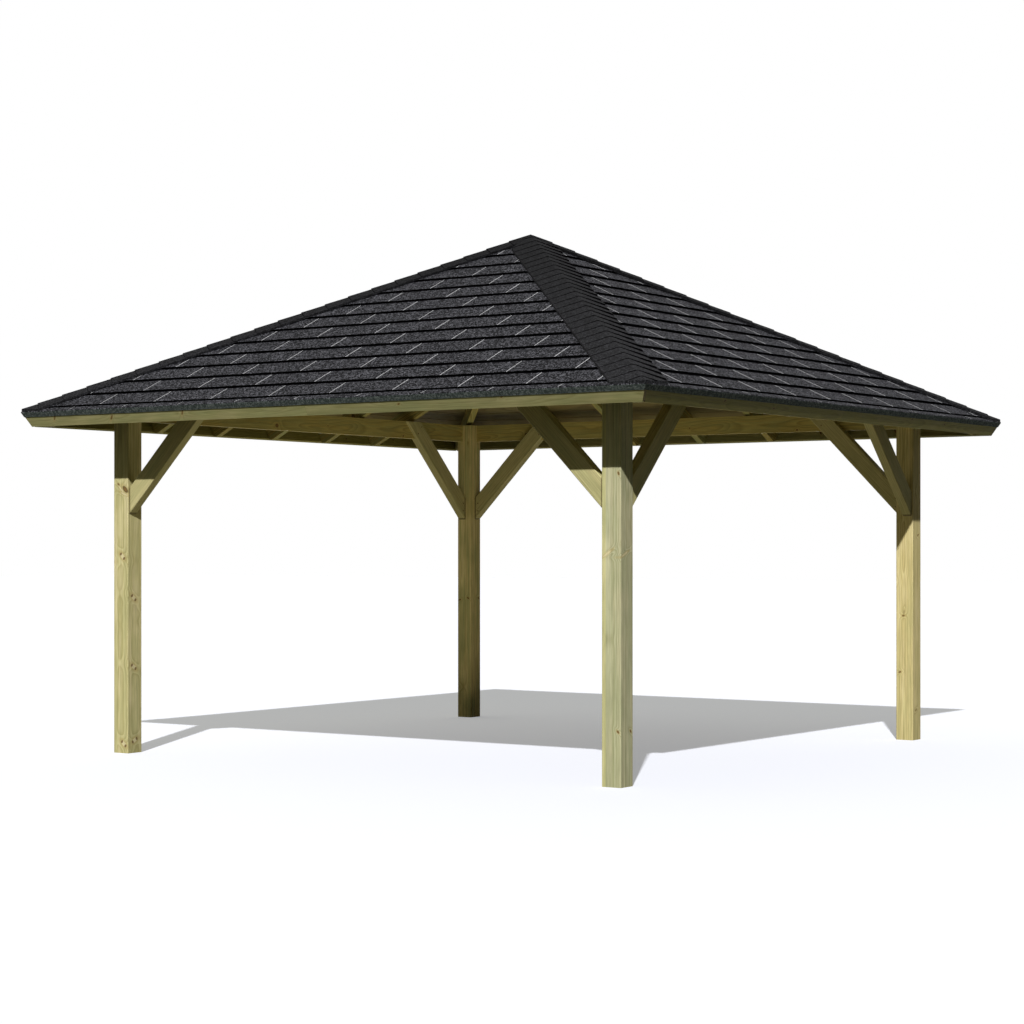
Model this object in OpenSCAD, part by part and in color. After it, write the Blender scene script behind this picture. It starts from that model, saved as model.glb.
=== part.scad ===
/* [Frame] */
// Width over the outer faces of the corner posts, the same on all four sides
frame_w = 3600; // [3200:10:4200]
// Section of a corner post, square
post_w = 117; // [100:1:140]
// Height of the beams' top edge above the ground
beam_top = 2112; // [1950:1:2400]
// Height of a beam's section
beam_h = 117; // [95:1:145]
// Thickness of a beam
beam_t = 45; // [35:1:60]
// Chamfer along the edges of the posts and the braces
arris = 3; // [1:0.5:5]

/* [Braces] */
// Width of a brace's face
brace_w = 110; // [80:1:130]
// Thickness of a brace
brace_t = 60; // [50:1:70]
// Depth that a brace lies behind the post's outer face
brace_setback = 9; // [4:1:14]
// Height of a brace, from its lower corner on the post to the beam's top edge
brace_rise = 681; // [550:1:800]

/* [Roof frame] */
// Slope of the roof from level, in degrees
pitch = 27.2; // [22:0.1:32]
// Level distance from a beam's outer face to the rafters' tail ends
overhang = 352; // [250:1:450]
// Thickness of every rafter
rafter_w = 45; // [35:1:60]
// Depth of a common or jack rafter, square to its edge
rafter_d = 90; // [80:1:110]
// Depth of a hip rafter, square to its edge
hip_d = 115; // [105:1:130]
// Distance between rafters along the eave, centre to centre
rafter_gap = 550; // [450:10:600]
// Jack rafters on each side of the middle rafter of a slope
jacks = 2; // [1:1:2]
// Depth of the seat cut in a rafter at the beam's outer face
seat_cut = 8; // [4:1:16]
// Width of the eight-sided hub at the apex, across its flats
hub_w = 126; // [115:1:160]
// Length of the hub below the rafters' top edges
hub_drop = 190; // [150:5:260]

/* [Roof skin] */
// Thickness of the roof boards
board_t = 19; // [16:1:25]
// Cover width of one roof board
board_w = 96; // [80:1:140]
// Width of the V groove between two boards, seen from below
groove_w = 7; // [4:0.5:9]
// Depth of that V groove
groove_d = 3.5; // [2:0.5:5]
// Thickness of the fascia
fascia_t = 22; // [18:1:30]
// Height of the fascia, square to its edge
fascia_h = 90; // [80:1:120]
// Gap at the joint in the middle of each fascia
splice_gap = 1; // [0.5:0.5:3]
// Thickness of the shingles at the lower edge of a course
shingle_butt = 10; // [6:0.5:12]
// Thickness of the shingles where the next course covers them
shingle_thin = 2; // [1.5:0.5:5]
// Height of a shingle course up the slope
course_h = 174.5; // [120:0.5:220]
// Height that shows of the lowest course, which covers only the eave
eave_course = 69; // [50:1:110]
// Distance that the shingles' turned-down edge stands out from the fascia
lip_t = 3; // [2:1:16]
// Depth of the turned-down edge over the face of the fascia
lip_drop = 23; // [15:1:35]
// Width of each wing of a hip cap
cap_w = 160; // [110:1:200]
// Visible length of one hip cap on the front right hip
cap_step = 108.5; // [90:0.5:160]
// Visible length of one hip cap on the other hips
long_cap_step = 152; // [110:0.5:200]
// Thickness of a hip cap at its lower edge
cap_butt = 14; // [11:0.5:17]
// Thickness of a hip cap where the next one covers it
cap_thin = 8; // [5:0.5:10]

/* [Hidden] */
SIDES = ["right", "back", "left", "front"];
CORNERS = ["back_right", "back_left", "front_left", "front_right"];
PINE = "#b8b27e";
PINE_DARK = "#8c8558";
FELT = "#3b3a3e";
CAP_FELT = "#2b2b2d";

// Half widths of the frame and heights of its joints
half = frame_w / 2;
post_in = half - post_w;
beam_in = half - beam_t;
beam_bot = beam_top - beam_h;

// A slope's own coordinates: t runs down the slope, n stands square to it
rafter_bot_n = half * sin(pitch) + (beam_top - seat_cut) * cos(pitch);
rafter_top_n = rafter_bot_n + rafter_d;
board_top_n = rafter_top_n + board_t;
cap_bot_n = board_top_n + shingle_butt;
tail_t = (half + overhang - rafter_top_n * sin(pitch)) / cos(pitch);
fascia_out_t = tail_t + fascia_t;
lip_out_t = fascia_out_t + lip_t;
fascia_bot_n = board_top_n - fascia_h;

// Level that no rafter tail goes below, just above the fascia's lower edge
tail_z = fascia_bot_n * cos(pitch) - fascia_out_t * sin(pitch) + 3;

// Plan sizes that reach past the roof and its apex
reach = half + overhang + 200;
tall = 6000;

// Angle of a hip in the plane of its slope, and a hip's own fall from level
hip_turn = atan(cos(pitch));
hip_fall = atan(tan(pitch) / sqrt(2));

// Level offset of a jack rafter's cheek from the hip line, along the slope's run
cheek = rafter_w / 2 * sqrt(2);

// Turns a piece of the right slope or the back right corner to side or corner k
module turn(k) {
    rotate([0, 0, 90 * k]) children();
}

// Lays a shape drawn in t, v and n onto the right slope
module on_slope() {
    rotate([0, pitch, 0]) children();
}

// A straight length along the eave whose section is an outline in t and n
module along_eave(outline, from, to) {
    on_slope() translate([0, to, 0]) rotate([90, 0, 0]) linear_extrude(height = to - from)
        polygon(outline);
}

// Everything over the plan of one slope, between its two hips
module over_slope(inset = 0, out = reach) {
    linear_extrude(height = tall)
        polygon([[inset, 0], [out, inset - out], [out, out - inset]]);
}

// Everything over half of one slope's plan, from its middle to one hip
module over_half_slope(out = reach) {
    linear_extrude(height = tall) polygon([[0, 0], [out, 0], [out, out]]);
}

// Everything outside the plane t = at on the right slope
module beyond(at) {
    on_slope() translate([at, -tall, -tall]) cube([tall, 2 * tall, 3 * tall]);
}

// Everything above the plane n = at on the right slope
module above(at) {
    on_slope() translate([-tall, -tall, at]) cube([2 * tall, 2 * tall, tall]);
}

// A bar of square section with chamfered long edges, standing on z = 0
module arrised_bar(a, b, h) {
    linear_extrude(height = h) polygon([
        [arris, 0], [a - arris, 0], [a, arris], [a, b - arris],
        [a - arris, b], [arris, b], [0, b - arris], [0, arris]
    ]);
}

// Corner post, notched on its two outer faces for the beams
module post() {
    color(PINE) difference() {
        translate([post_in, post_in, 0]) arrised_bar(post_w, post_w, beam_top);
        translate([beam_in, 0, beam_bot]) cube([post_w, frame_w, beam_h + 1]);
        translate([0, beam_in, beam_bot]) cube([frame_w, post_w, beam_h + 1]);
    }
}

// Beam of a side: the front and back beams run through, the side beams butt on them
module beam(through) {
    run = through ? half : beam_in;
    color(PINE_DARK) translate([beam_in, -run, beam_bot]) cube([beam_t, 2 * run, beam_h]);
}

// Brace at the back end of the right side, drawn as if square to the side
module brace() {
    foot = beam_top - brace_rise;
    out = half - brace_setback;
    color(PINE) intersection() {
        difference() {
            translate([out - brace_t, post_in, foot]) rotate([45, 0, 0])
                translate([0, 0, -brace_w]) arrised_bar(brace_t, brace_w, 2 * brace_rise);
            translate([beam_in, -half, beam_bot]) cube([beam_t, frame_w, beam_h]);
        }
        cube([frame_w, post_in, beam_top]);
    }
}

// Section of a common or jack rafter, in t and n
function rafter_outline(from) = [
    [from, rafter_bot_n], [tail_t, rafter_bot_n], [tail_t, rafter_top_n], [from, rafter_top_n]
];

// Takes off what a rafter may not fill: the beam's seat and the tail below the fascia
module rafter_cuts() {
    translate([0, -reach, beam_bot]) cube([half, 2 * reach, beam_h]);
    translate([0, -reach, tail_z - tall]) cube([reach, 2 * reach, tall]);
}

// One rafter of the right slope, centred at v along the eave
module rafter(v) {
    top_t = -rafter_top_n * tan(pitch);
    difference() {
        along_eave(rafter_outline(top_t), v - rafter_w / 2, v + rafter_w / 2);
        rafter_cuts();
    }
}

// Rafter in the middle of a slope, which runs from the hub to the eave
module middle_rafter() {
    color(PINE_DARK) intersection() {
        rafter(0);
        translate([hub_w / 2, -reach, 0]) cube([reach, 2 * reach, tall]);
    }
}

// Shorter rafters that end on the hip rafters, with cheeks cut to fit
module jack_rafters() {
    color(PINE_DARK) for (i = [1 : jacks], s = [-1, 1])
        intersection() {
            rafter(s * i * rafter_gap);
            over_slope(inset = cheek);
        }
}

// Hip rafter of the back right corner, its top planed to both slopes
module hip_rafter() {
    crest = rafter_top_n / cos(pitch);
    drop = hip_d / cos(hip_fall);
    run = reach * sqrt(2);
    color(PINE_DARK) difference() {
        rotate([90, 0, 45]) translate([0, 0, -rafter_w / 2]) linear_extrude(height = rafter_w)
            polygon([
                [0, crest], [run, crest - run * tan(hip_fall)],
                [run, crest - drop - run * tan(hip_fall)], [0, crest - drop]
            ]);
        above(rafter_top_n);
        turn(1) above(rafter_top_n);
        beyond(tail_t);
        turn(1) beyond(tail_t);
        rafter_cuts();
        hub_prism(0, tall);
    }
}

// The hub's eight-sided form between two heights
module hub_prism(from, to) {
    translate([0, 0, from]) linear_extrude(height = to - from)
        rotate(22.5) circle(d = hub_w / cos(22.5), $fn = 8);
}

// Hub that the hip and middle rafters meet on, its top planed to the four slopes
module apex_hub() {
    top = rafter_top_n / cos(pitch);
    color(PINE_DARK) difference() {
        hub_prism(top - hub_drop, top);
        for (k = [0 : 3]) turn(k) above(rafter_top_n);
    }
}

// Underside of the close boards, as points from the top board down to the eave
function board_unders(top_t) = [
    for (i = [floor((tail_t - top_t) / board_w) : -1 : 1], t = tail_t - i * board_w)
        each [[t - groove_w / 2, rafter_top_n], [t, rafter_top_n + groove_d],
            [t + groove_w / 2, rafter_top_n]]
];

// Close boards of one slope, laid along the eave, with a V groove at each joint below
module roof_boards() {
    top_t = -board_top_n * tan(pitch);
    color(PINE_DARK) intersection() {
        along_eave(concat(
            [[top_t - board_w, board_top_n], [top_t - board_w, rafter_top_n]],
            board_unders(top_t),
            [[tail_t, rafter_top_n], [tail_t, board_top_n]]), -reach, reach);
        over_slope();
    }
}

// Fascia of a side in two lengths: the front and back ones cover the others' ends
module fascia(through) {
    stop_t = through ? fascia_out_t : tail_t;
    color(PINE) difference() {
        along_eave([[tail_t, fascia_bot_n], [fascia_out_t, fascia_bot_n],
            [fascia_out_t, board_top_n], [tail_t, board_top_n]], -reach, reach);
        turn(1) beyond(stop_t);
        turn(-1) beyond(stop_t);
        translate([0, -splice_gap / 2, 0]) cube([reach, splice_gap, tall]);
    }
}

// Top of the shingle courses, as points from the eave to the apex
function course_tops(top_t) = [
    for (t = lip_out_t, end = lip_out_t - eave_course; t > top_t; t = end, end = t - course_h)
        each [[t, board_top_n + shingle_butt], [end, board_top_n + shingle_thin]]
];

// Shingle courses of one slope with their turned-down edge
module shingles() {
    top_t = -(board_top_n + shingle_butt) * tan(pitch) - course_h;
    lip_n = board_top_n - lip_drop;
    color(FELT) intersection() {
        along_eave(concat(
            [[top_t - course_h, board_top_n], [fascia_out_t, board_top_n],
                [fascia_out_t, lip_n], [lip_out_t, lip_n]],
            course_tops(top_t)), -reach, reach);
        over_slope();
    }
}

// Outline of one wing of a run of hip caps, along the hip and square to the slope
function cap_outline(length, step) = concat(
    [[-step, 0], [length, 0]],
    [for (s = length, end = length - step; s > 0; s = end, end = s - step)
        each [[s, cap_butt], [end, cap_thin]]]
);

// Hip caps of the back right corner: folded felt pieces, each over the next lower one
module hip_caps(step) {
    length = (lip_out_t + cap_bot_n * tan(pitch)) / cos(hip_turn);
    edge = (lip_out_t * cos(pitch)) + cap_bot_n * sin(pitch);
    color(CAP_FELT) for (m = [0, 1])
        mirror(m == 0 ? [0, 0, 0] : [1, -1, 0])
            intersection() {
                on_slope() translate([-cap_bot_n * tan(pitch), 0, cap_bot_n])
                    rotate([0, 0, hip_turn]) rotate([90, 0, 0]) translate([0, 0, -2 * cap_butt])
                        linear_extrude(height = cap_w + 2 * cap_butt)
                            polygon(cap_outline(length, step));
                over_half_slope(out = edge);
            }
}

for (k = [0 : 3]) {
    turn(k) post();
    turn(k) beam(k % 2 == 1);
    turn(k) brace();
    turn(k) mirror([1, -1, 0]) brace();
    turn(k) hip_rafter();
    turn(k) middle_rafter();
    turn(k) jack_rafters();
    turn(k) roof_boards();
    turn(k) fascia(k % 2 == 1);
    turn(k) shingles();
    turn(k) hip_caps(k == 3 ? cap_step : long_cap_step);
}
apex_hub();
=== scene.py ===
# %% [markdown]
# A garden gazebo with a shingled hipped roof
#
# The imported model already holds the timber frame: posts, braces, beams, rafters, close boards and
# fascias. This lesson gives every timber its own grain, lays the felt shingles tab by tab, folds the
# hip caps, drives the screws of the braces, and sets up a plain studio around it all.

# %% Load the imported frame
from functools import partial
from math import ceil, cos, floor, hypot, pi, radians, sin, sqrt, tan
from random import Random

import bmesh
import bpy
from mathutils import Matrix, Vector


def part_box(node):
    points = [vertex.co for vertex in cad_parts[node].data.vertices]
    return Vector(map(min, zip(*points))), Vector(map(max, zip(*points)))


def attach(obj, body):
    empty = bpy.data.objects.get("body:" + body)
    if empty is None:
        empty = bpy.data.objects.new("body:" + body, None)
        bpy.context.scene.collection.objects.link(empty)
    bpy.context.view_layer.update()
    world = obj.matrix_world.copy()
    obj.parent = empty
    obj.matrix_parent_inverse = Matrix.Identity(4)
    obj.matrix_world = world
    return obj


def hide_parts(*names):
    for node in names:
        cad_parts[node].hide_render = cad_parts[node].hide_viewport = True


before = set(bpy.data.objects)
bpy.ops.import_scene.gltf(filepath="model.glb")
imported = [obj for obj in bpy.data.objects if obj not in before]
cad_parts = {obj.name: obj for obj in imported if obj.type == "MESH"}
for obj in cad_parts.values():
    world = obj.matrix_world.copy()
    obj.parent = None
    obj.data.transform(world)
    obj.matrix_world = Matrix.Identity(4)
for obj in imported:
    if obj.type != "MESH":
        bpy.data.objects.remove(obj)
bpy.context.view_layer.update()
MM = 0.001

# %% [markdown]
# The camera stands where the photographer stood: about 14 metres out, at a low standing height, and
# level. A level camera keeps the posts upright, so the frame is shifted a little instead of tilted.

# %% Camera
CAMERA_PLACE = (8.100, -11.770, 1.2465)
CAMERA_TURN = 0.598
CAMERA_LENS = 80.86
CAMERA_SHIFT = (-0.0289, 0.0322)

lens = bpy.data.cameras.new("studio camera")
lens.lens = CAMERA_LENS
lens.sensor_width = 36
lens.shift_x = CAMERA_SHIFT[0]
lens.shift_y = CAMERA_SHIFT[1]
lens.clip_end = 200
camera = bpy.data.objects.new("studio camera", lens)
camera.location = CAMERA_PLACE
camera.rotation_euler = (pi / 2, 0, CAMERA_TURN)
bpy.context.scene.collection.objects.link(camera)
bpy.context.scene.camera = camera
print("camera distance from the middle of the roof: %.1f m" % camera.location.length)

# %% [markdown]
# Materials are node trees. One small helper adds a node, sets it up and links what feeds it, so a
# recipe reads from top to bottom. Colours are written as the hex values that a picture shows and
# are turned to linear light once, here.

# %% Colour and node helpers


def linear(hexed):
    """Turns an sRGB hex colour into linear red, green, blue and a full alpha."""
    parts = [int(hexed[i:i + 2], 16) / 255 for i in (1, 3, 5)]
    return [c / 12.92 if c <= 0.04045 else ((c + 0.055) / 1.055) ** 2.4 for c in parts] + [1.0]


def add(tree, kind, feeds=None, stops=(), **settings):
    """Adds one node with its settings. Feeds maps a socket to a value or to another socket, and
    stops are the places and hex colours of a colour ramp."""
    node = tree.nodes.new(kind)
    for name, value in settings.items():
        setattr(node, name, value)
    for socket, value in (feeds or {}).items():
        if isinstance(value, bpy.types.NodeSocket):
            tree.links.new(value, node.inputs[socket])
        else:
            node.inputs[socket].default_value = value
    if stops:
        elements = node.color_ramp.elements
        while len(elements) < len(stops):
            elements.new(0.5)
        for element, (place, colour) in zip(elements, stops):
            element.position = place
            element.color = linear(colour)
    return node


def new_material(name, sockets):
    """Starts a material and returns it with its shader and a short way to add nodes to it."""
    material = bpy.data.materials.new(name)
    material.use_nodes = True
    tree = material.node_tree
    tree.nodes.clear()
    shader = add(tree, "ShaderNodeBsdfPrincipled", sockets)
    add(tree, "ShaderNodeOutputMaterial", {"Surface": shader.outputs[0]})
    return material, shader, partial(add, tree)


print("mid grey #808080 is %.3f in linear light" % linear("#808080")[0])

# %% [markdown]
# The light is one sun, low enough at the front right to throw the eaves' shadow on the posts, and a
# pale sky. Its disc is kept small, so the shadow edges stay as crisp as on a clear day. The sky is
# dim and a little green on the sunny side, as a garden gives it back, darker still on the right,
# and bright behind, so that the far sides of the timber aren't lost when the gazebo is seen from
# the back.

# %% Sun
SUN_TRAVEL = Vector((-0.386, 0.695, -0.629))
SUN_STRENGTH = 4.05
SUN_WIDTH = radians(0.9)

sun_data = bpy.data.lights.new("sun", "SUN")
sun_data.energy = SUN_STRENGTH
sun_data.angle = SUN_WIDTH
sun = bpy.data.objects.new("sun", sun_data)
sun.rotation_mode = "QUATERNION"
sun.rotation_quaternion = SUN_TRAVEL.to_track_quat("-Z", "Y")
sun.location = -6 * SUN_TRAVEL
bpy.context.scene.collection.objects.link(sun)
print("sun %.1f degrees above the horizon" % (90 - SUN_TRAVEL.angle(Vector((0, 0, -1))) * 180 / pi))

# %% Sky
SKY_BRIGHT_WAY = Vector((-0.78, 0.54, 0.31))
SKY_GARDEN = "#434531"
SKY_OPEN = "#BCBAA8"
SKY_HEDGE_WAY = Vector((0.95, 0.2, 0.1))
SKY_HEDGE = "#1A1809"


def picture_rays(new):
    """1 for what the camera sees, straight or in gloss or glass; 0 for light on the object."""
    rays = new("ShaderNodeLightPath").outputs
    seen = new("ShaderNodeMath", {0: rays["Is Camera Ray"], 1: rays["Is Glossy Ray"]},
               operation="MAXIMUM").outputs[0]
    return new("ShaderNodeMath", {0: seen, 1: rays["Is Transmission Ray"]},
               operation="MAXIMUM").outputs[0]


world = bpy.data.worlds.new("pale sky")
world.use_nodes = True
bpy.context.scene.world = world
world.node_tree.nodes.clear()
sky = partial(add, world.node_tree)
direction = sky("ShaderNodeTexCoord").outputs["Generated"]
facing = sky("ShaderNodeVectorMath", {0: direction, 1: SKY_BRIGHT_WAY},
             operation="DOT_PRODUCT").outputs["Value"]
openness = sky("ShaderNodeMapRange", {"Value": facing, "From Min": -0.2, "From Max": 0.8}).outputs[0]
around = sky("ShaderNodeMix", {0: openness, 6: linear(SKY_GARDEN), 7: linear(SKY_OPEN)},
             data_type="RGBA").outputs[2]
hedge = sky("ShaderNodeVectorMath", {0: direction, 1: SKY_HEDGE_WAY},
            operation="DOT_PRODUCT").outputs["Value"]
hedge = sky("ShaderNodeMapRange", {"Value": hedge, "From Min": 0.1, "From Max": 0.7}).outputs[0]
around = sky("ShaderNodeMix", {0: hedge, 6: around, 7: linear(SKY_HEDGE)},
             data_type="RGBA").outputs[2]
dim = sky("ShaderNodeBackground", {"Color": around, "Strength": 1.0})
white = sky("ShaderNodeBackground", {"Color": (1, 1, 1, 1), "Strength": 1.0})
mixed = sky("ShaderNodeMixShader", {0: picture_rays(sky), 1: dim.outputs[0], 2: white.outputs[0]})
sky("ShaderNodeOutputWorld", {"Surface": mixed.outputs[0]})
bpy.context.scene.view_settings.view_transform = "Standard"
print("the sky has", len(world.node_tree.nodes), "nodes")

# %% [markdown]
# The floor shows white and keeps the gazebo's shadow, but only for the camera. To the timber it is
# dull, because a white floor would fill every shadow from below. A little glow in its paint sets
# how dark the shadow looks.

# %% Studio floor
FLOOR_HALF = 60
FLOOR_SHADOW_LIFT = 0.213
FLOOR_WHITE = "#F3F5FF"
FLOOR_GLOW = (0.94, 0.96, 1.03, 1)
FLOOR_GLOW_STRENGTH = 1.47
FLOOR_DULL = "#4C4A38"

floor_bm = bmesh.new()
bmesh.ops.create_grid(floor_bm, x_segments=1, y_segments=1, size=FLOOR_HALF)
floor_mesh = bpy.data.meshes.new("studio floor")
floor_bm.to_mesh(floor_mesh)
floor_bm.free()
floor_piece = bpy.data.objects.new("studio_floor", floor_mesh)
bpy.context.scene.collection.objects.link(floor_piece)

floor_paint = bpy.data.materials.new("matt white studio floor")
floor_paint.use_nodes = True
floor_paint.node_tree.nodes.clear()
lay = partial(add, floor_paint.node_tree)
matt = lay("ShaderNodeBsdfDiffuse", {"Color": linear(FLOOR_WHITE)})
glow = lay("ShaderNodeEmission", {"Color": FLOOR_GLOW, "Strength": FLOOR_GLOW_STRENGTH})
pale = lay("ShaderNodeMixShader", {0: FLOOR_SHADOW_LIFT, 1: matt.outputs[0], 2: glow.outputs[0]})
dull = lay("ShaderNodeBsdfDiffuse", {"Color": linear(FLOOR_DULL)})
floor_mix = lay("ShaderNodeMixShader", {0: picture_rays(lay), 1: dull.outputs[0], 2: pale.outputs[0]})
lay("ShaderNodeOutputMaterial", {"Surface": floor_mix.outputs[0]})
floor_mesh.materials.append(floor_paint)
print("floor %d m wide" % (2 * FLOOR_HALF))

# %% [markdown]
# What light does come up under the roof is a soft warm lamp, flat on the ground between the posts:
# it stands for the pale paving that people put there, and it lifts the rafters and the inner faces
# just enough to read.

# %% Light under the roof
PAVING_WIDTH = 2.6
PAVING_SPREAD = radians(160)
PAVING_PLACE = (-0.3, 0.2, 0.02)
PAVING_WATTS = 22
PAVING_COLOUR = (1.0, 0.92, 0.68)

paving_data = bpy.data.lights.new("warm light off the paving", "AREA")
paving_data.energy = PAVING_WATTS
paving_data.color = PAVING_COLOUR
paving_data.size = PAVING_WIDTH
paving_data.spread = PAVING_SPREAD
paving = bpy.data.objects.new("warm light off the paving", paving_data)
paving.rotation_euler = (pi, 0, 0)
paving.location = PAVING_PLACE
paving.visible_camera = False
paving.visible_glossy = False
bpy.context.scene.collection.objects.link(paving)
print("lamp %.1f m wide" % PAVING_WIDTH)

# %% [markdown]
# The timber is pressure-treated pine, planed: pale straw with a green cast from the copper salts,
# growth rings that show as long lines and arches, and brown knots where branches grew. A solid
# pattern is the honest way to make it: rings are cylinders round the tree's pith, which lies beside
# or inside the timber, and each face is simply a cut through them. So faces and end grain agree by
# themselves. Knots are branches: cones that start at the pith, and the rings swell round them.

# %% Pine colours
STRAW = ("#D5CC95", "#CBC18B", "#B2A770")
GREY_STRAW = ("#CCCAA4", "#BDB994", "#A6A37B")
GOLD_STRAW = ("#DACB92", "#CFBE85", "#B6A36B")
OLIVE = ("#B4AE7A", "#A8A26E", "#8E8855")
OLIVE_GOLD = ("#B2AA5E", "#A49C55", "#8A803F")
HONEY = ("#BEAE6B", "#AE9D5C", "#86753C")
BROWN = ("#7E7048", "#746642", "#605434")
COPPER_GREEN = "#8F9868"
CREAM = "#DCD0A4"
KNOT_HEART = "#7C5C30"
KNOT_RIM = "#3E2E18"
KNOT_HALO = "#B9A266"
END_GRAIN = "#6A5835"
# Painted shadow along the foot of each brace, where it meets the post
FOOT_SHADOW = "#4E3F22"
SAPWOOD = "#D2CB8E"
print("%d pine colourings" % len((STRAW, GREY_STRAW, GOLD_STRAW, OLIVE, OLIVE_GOLD, HONEY, BROWN)))

# %% [markdown]
# The figure of the wood is set by a few real sizes in millimetres. Rings of planed pine are 2 to 4 mm
# apart, too fine to show from across a garden, so they are drawn at 9 mm. The streaks are lengths
# along, across and through the wood: long threads of fibre, longer stripes where the salts soaked
# in, and soft clouds.

# %% Sizes of the wood's figure
RING_GAP = 9
RING_DRIFT = 38
RING_SPREAD = 34
KNOT_SWELL = 15
WHORL_GAP = 420
BRANCH_SPREAD = 36
BRANCH_LEAST = -20
STEM = 7000
PITH_WAVES = (900, 260, 260)
THREADS = (130, 7, 7)
STRIPES = (900, 16, 16)
CLOUDS = (260, 90, 90)
print("rings are drawn %d mm apart" % RING_GAP)

# %% Knots


def knot(centre, right, outward, size, lean=0.0, depth=30):
    """A knot's middle, turn and half sizes in a timber's own millimetres: x runs along the grain."""
    right = Vector(right)
    outward = Vector(outward)
    along = Vector((1, 0, 0)) * cos(radians(lean)) + right * sin(radians(lean))
    basis = Matrix((along, outward.cross(along), outward)).transposed()
    return Vector(centre), basis.to_euler("XYZ"), Vector((size[0] / 2, size[1] / 2, depth))


def closer(new, one, other):
    """The smaller of two distances, either of which may be missing."""
    if one is None or other is None:
        return one if other is None else other
    return new("ShaderNodeMath", {0: one, 1: other}, operation="MINIMUM").outputs[0]


def nearest(new, grain, knots):
    """How far off the closest knot is, where 1 is its rim."""
    found = None
    for centre, turn, radii in knots:
        ball = new("ShaderNodeMapping", {"Vector": grain, "Location": centre, "Rotation": turn,
                                         "Scale": radii}, vector_type="TEXTURE").outputs[0]
        off = new("ShaderNodeVectorMath", {0: ball}, operation="LENGTH").outputs["Value"]
        found = closer(new, found, off)
    return found


shown = knot((0, 0, 0), (0, 1, 0), (0, 0, 1), (52, 25))
print("a slanting knot is %d mm by %d mm" % tuple(2 * r for r in shown[2][:2]))

# %% [markdown]
# A timber has its own axes: x along the grain, y and z across it, in millimetres from its middle.
# Where one node holds several boards, or a fascia is made of two lengths, each of them is moved far
# along the stem by a random number, so that its grain doesn't run on into the next one.

# %% The grain's own axes


def grain_axes(new, where, along, across, centre):
    """Object coordinates as a piece's own millimetres, with x along the grain."""
    length = Vector(along).normalized()
    side = Vector(across).normalized()
    turn = Matrix((length, side, length.cross(side)))
    return new("ShaderNodeMapping", {
        "Vector": where, "Location": turn @ (Vector(centre) * -1000),
        "Rotation": turn.to_euler("XYZ"), "Scale": (1000, 1000, 1000)}).outputs[0]


def separate_lengths(new, own, every, splice, shift):
    """Gives each board its own place in the tree; mark is its random number, or None."""
    x, y, z = new("ShaderNodeSeparateXYZ", {0: own}).outputs
    mark = None
    if splice:
        half = new("ShaderNodeMath", {0: x, 1: 0}, operation="GREATER_THAN").outputs[0]
        half = new("ShaderNodeMath", {0: half, 1: shift}, operation="ADD").outputs[0]
        mark = new("ShaderNodeTexWhiteNoise", {"W": half}, noise_dimensions="1D").outputs["Value"]
    if every:
        count = new("ShaderNodeMath", {0: y, 1: every}, operation="DIVIDE").outputs[0]
        count = new("ShaderNodeMath", {0: count}, operation="ROUND").outputs[0]
        y = new("ShaderNodeMath", {0: count, 1: -every, 2: y}, operation="MULTIPLY_ADD").outputs[0]
        mark = new("ShaderNodeTexWhiteNoise", {"W": count}, noise_dimensions="1D").outputs["Value"]
    if mark is not None:
        x = new("ShaderNodeMath", {0: mark, 1: STEM, 2: x}, operation="MULTIPLY_ADD").outputs[0]
    x = new("ShaderNodeMath", {0: x, 1: shift}, operation="ADD").outputs[0]
    return x, y, z, mark


def drawn_out(new, grain, lengths):
    """Grain coordinates counted in waves of these lengths along, across and through the wood."""
    return new("ShaderNodeVectorMath", {0: grain, 1: [1 / mm for mm in lengths]},
               operation="MULTIPLY").outputs[0]


print("boards are cut up to %.0f m apart along the stem" % (STEM * MM))

# %% [markdown]
# The pith wanders slowly along the timber, and that makes the arches. The rings count outwards from
# it: some years are wider, and every year swells round a knot. Branches leave the stem all round and
# at whorls, so they are scattered on a map of the stem, its height by its angle.

# %% Pith, branches and rings


def off_the_pith(new, grain, y, z, pith, wander):
    """How far a point lies from the wandering pith: across, through and in all."""
    drift = new("ShaderNodeTexNoise", {"Vector": drawn_out(new, grain, PITH_WAVES), "Scale": 1,
                                       "Detail": 2, "Roughness": 0.45}).outputs["Color"]
    sway = new("ShaderNodeSeparateXYZ", {0: drift}).outputs
    off = []
    for swing, place, middle in ((sway[0], y, pith[0]), (sway[1], z, pith[1])):
        moved = new("ShaderNodeMath", {0: swing, 1: wander, 2: -wander / 2 - middle},
                    operation="MULTIPLY_ADD").outputs[0]
        off.append(new("ShaderNodeMath", {0: place, 1: moved}, operation="ADD").outputs[0])
    both = new("ShaderNodeCombineXYZ", {1: off[0], 2: off[1]}).outputs[0]
    return *off, new("ShaderNodeVectorMath", {0: both}, operation="LENGTH").outputs["Value"]


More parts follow.
